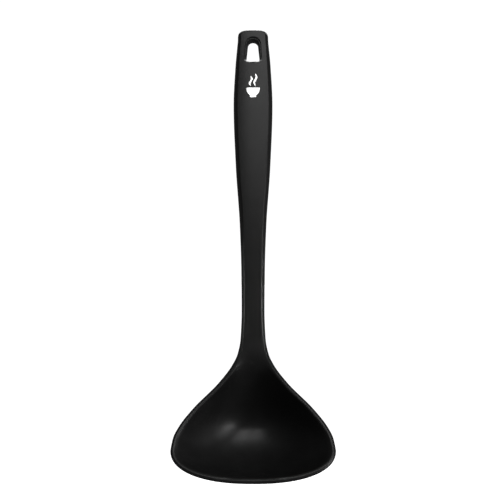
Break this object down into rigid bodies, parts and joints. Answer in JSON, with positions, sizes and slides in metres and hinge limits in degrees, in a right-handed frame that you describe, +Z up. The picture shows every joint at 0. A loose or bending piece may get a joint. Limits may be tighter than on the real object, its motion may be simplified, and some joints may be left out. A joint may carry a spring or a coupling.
{
  "type": "kitchen ladle",
  "caption": "Kitchen ladle with a deep rounded-triangle bowl, a slim shaft, a tapered flat grip and a hanging hole, made as a soft silicone skin over a stiff nylon core.",
  "frame": {"origin": "where a hook bears: the top of the hanging hole, in the middle of the handle's thickness", "axes": "+Z up the handle as the ladle hangs, -Y the way the bowl opens, +X across the bowl"},
  "size_m": [0.1042, 0.0567, 0.2923],
  "materials": {
    "silicone": "satin",
    "nylon": "fine matt moulded"
  },
  "bodies": {
    "root": {"silicone_skin": "silicone", "nylon_core": "nylon"}
  },
  "joints": []
}
